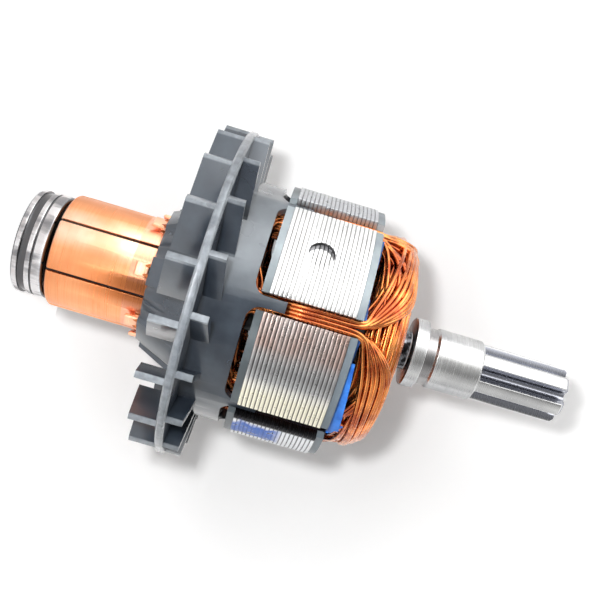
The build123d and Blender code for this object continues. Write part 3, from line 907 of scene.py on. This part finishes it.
print("a turn has", len(wire_route(0, 1, 0.5, 16 * mm, 0, 0, 1)), "control points")

# %% [markdown]
# Wires are strands of one curve, which becomes a mesh when all of them are laid. A turn of a coil closes on
# itself, and a lead wire has two ends.


# %% Helpers: a curve for wires, a strand, a mesh of them
def wire_curve(name, radius, steps):
    """An empty curve that makes round wires of its strands."""
    curve = bpy.data.curves.new(name, "CURVE")
    curve.dimensions = "3D"
    curve.bevel_depth = radius
    curve.bevel_resolution = 2
    curve.resolution_u = steps
    return curve


def add_strand(curve, route, closed):
    """A smooth strand along the points of a route."""
    spline = curve.splines.new("NURBS")
    spline.points.add(len(route) - 1)
    for point, place in zip(spline.points, route):
        point.co = (*place, 1)
    spline.order_u = 4
    spline.use_cyclic_u = closed
    spline.use_endpoint_u = not closed


def mesh_of_wires(curve):
    """The strands of a curve as one mesh of enamelled wire."""
    piece = bpy.data.objects.new(curve.name, curve)
    bpy.context.scene.collection.objects.link(piece)
    bpy.ops.object.select_all(action="DESELECT")
    piece.select_set(True)
    bpy.context.view_layer.objects.active = piece
    bpy.ops.object.convert(target="MESH")
    piece = bpy.context.object
    bpy.ops.object.shade_smooth()
    dress(piece, enamelled_copper)
    return piece


print("helpers for wires ready")

# %% [markdown]
# A coil is many such turns. Their places in the slot fill a small grid. A third of them form the ribbon that
# shows, and two more layers lie under it and close the gaps. A little wobble, with a fixed seed, keeps them
# from looking machine-drawn.

# %% Wind the seven coils
turns_in_layer = 8
layers = (
    {"smaller": 0.0, "deeper": 0.0, "lift": 1.0, "across": (0.9, 0.3)},
    {"smaller": 0.10, "deeper": 1.4, "lift": 0.7, "across": (1.7, 1.1)},
    {"smaller": 0.26, "deeper": 3.4, "lift": 0.0, "across": (1.2, 0.5)},
)


def wind_coil(coil):
    """All turns of one coil as one piece."""
    chance = random.Random(10 + coil)
    curve = wire_curve(f"coil_{coil + 1}_wires", wire_radius, 4)
    ribbon = ribbons[coil]
    for layer, turn in [(layer, turn) for layer in layers for turn in range(turns_in_layer)]:
        share = (turn + 0.5) / turns_in_layer + chance.uniform(-0.04, 0.04)
        size = ribbon["size"] - layer["smaller"] + chance.uniform(-0.02, 0.02)
        radius = stack_radius - (ribbon["set_in"] + layer["deeper"] + 0.6 * (turn // 2)) * mm
        wobble = math.radians(chance.uniform(-2.5, 2.5))
        across = layer["across"][turn % 2] * mm
        add_strand(curve, wire_route(coil, size, share, radius, across, wobble, layer["lift"]), True)
    piece = mesh_of_wires(curve)
    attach(piece, "rotor")
    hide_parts(f"coil_{coil + 1}")
    return piece


coils = [wind_coil(coil) for coil in range(pole_count)]
print("coil triangles:", [len(piece.data.polygons) * 2 for piece in coils])

# %% [markdown]
# ## The lead wires at the hooks
#
# From every hook two varnished wires run over the hub towards the winding, and they spread a little on the
# way. Only their first few millimetres show, so they end in the hub.

# %% Lay the lead wires
lead_steps = [(10.0, 0.5), (10.1, 2.2), (11.4, 3.2), (12.3, 4.6), (13.0, 6.4), (12.6, 8.0)]
leads = wire_curve("lead_wires", 0.32 * mm, 5)
for slot in range(pole_count):
    for side in (-0.55 * mm, 0.6 * mm):
        route = [
            slot_place(radius * mm, side * (1 + 0.35 * step), hook_start + rise * mm, slot)
            for step, (radius, rise) in enumerate(lead_steps)]
        add_strand(leads, route, False)
lead_wires = mesh_of_wires(leads)
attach(lead_wires, "rotor")
print("lead wires:", len(lead_wires.data.polygons), "faces")

# %% [markdown]
# ## The liner that was folded out
#
# One slot liner has a cuff that was folded out along the pole's edge, with a small tongue at its end. Each is
# a piece of a thin tube, cut from a cylinder with planes and given a thickness.

# %% Helpers: a direction, a piece of a tube
liner_thickness = 0.2 * mm
on_axis = Vector((0, 0, 0))


def towards(angle):
    """A direction square to the shaft, by its angle from the viewer's side in degrees, growing downwards."""
    return Vector((math.sin(math.radians(angle)), -math.cos(math.radians(angle)), 0))


def tube_piece(name, radius, low, high, start, end, slant):
    """A thin upright tube between two heights, cut down to the part between two angles and under a slant."""
    bpy.ops.object.select_all(action="DESELECT")
    bpy.ops.mesh.primitive_cylinder_add(
        vertices=120, radius=radius, depth=high - low, location=(0, 0, (low + high) / 2),
        end_fill_type="NOTHING")
    piece = bpy.context.object
    piece.name = name
    bpy.ops.object.transform_apply(location=True, rotation=False, scale=False)
    first, last = towards(start), towards(end)
    cuts = [
        (on_axis, (first + last).normalized(), True),
        (on_axis, (first.y, -first.x, 0), False),
        (on_axis, (-last.y, last.x, 0), False),
        (*slant, False)]
    bpy.ops.object.mode_set(mode="EDIT")
    for place, normal, behind in cuts:
        bpy.ops.mesh.select_all(action="SELECT")
        bpy.ops.mesh.bisect(plane_co=place, plane_no=normal, clear_inner=behind, clear_outer=not behind)
    bpy.ops.object.mode_set(mode="OBJECT")
    wall = piece.modifiers.new("wall", "SOLIDIFY")
    wall.thickness = liner_thickness
    bpy.ops.object.modifier_apply(modifier=wall.name)
    return piece


print("helpers for the cuff ready")

# %% [markdown]
# The strip grows higher along its length, and the tongue at its end comes to a point, so a slanting plane
# cuts the top of each. Both are joined to a copy of the liner, which takes the liner's place.

# %% Fold out the blue cuff
cuff_radius = 19.3 * mm
tongue_radius = cuff_radius - 0.3 * mm
strip_top = plate_front + 1.9 * mm
tongue_top = plate_front + 3.6 * mm
strip_slant = (towards(11) * cuff_radius + Vector((0, 0, plate_front + 0.7 * mm)), Vector((-0.1, 0, 1)))
tongue_slant = (towards(52) * cuff_radius + Vector((0, 0, plate_front + 0.6 * mm)), Vector((0.9, 0, 1)))
strip = tube_piece("cuff_strip", cuff_radius, plate_front, strip_top, 11, 48, strip_slant)
tongue = tube_piece("cuff_tongue", tongue_radius, plate_front, tongue_top, 45, 52, tongue_slant)
cuff = merged_copy("slot_liner_2", "slot_liner_2_folded", join_flat=False)
for piece in (strip, tongue):
    piece.select_set(True)
bpy.ops.object.join()
dress(cuff, liner_paper)
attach(cuff, "rotor")
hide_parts("slot_liner_2")
print("folded liner:", len(cuff.data.polygons), "faces")
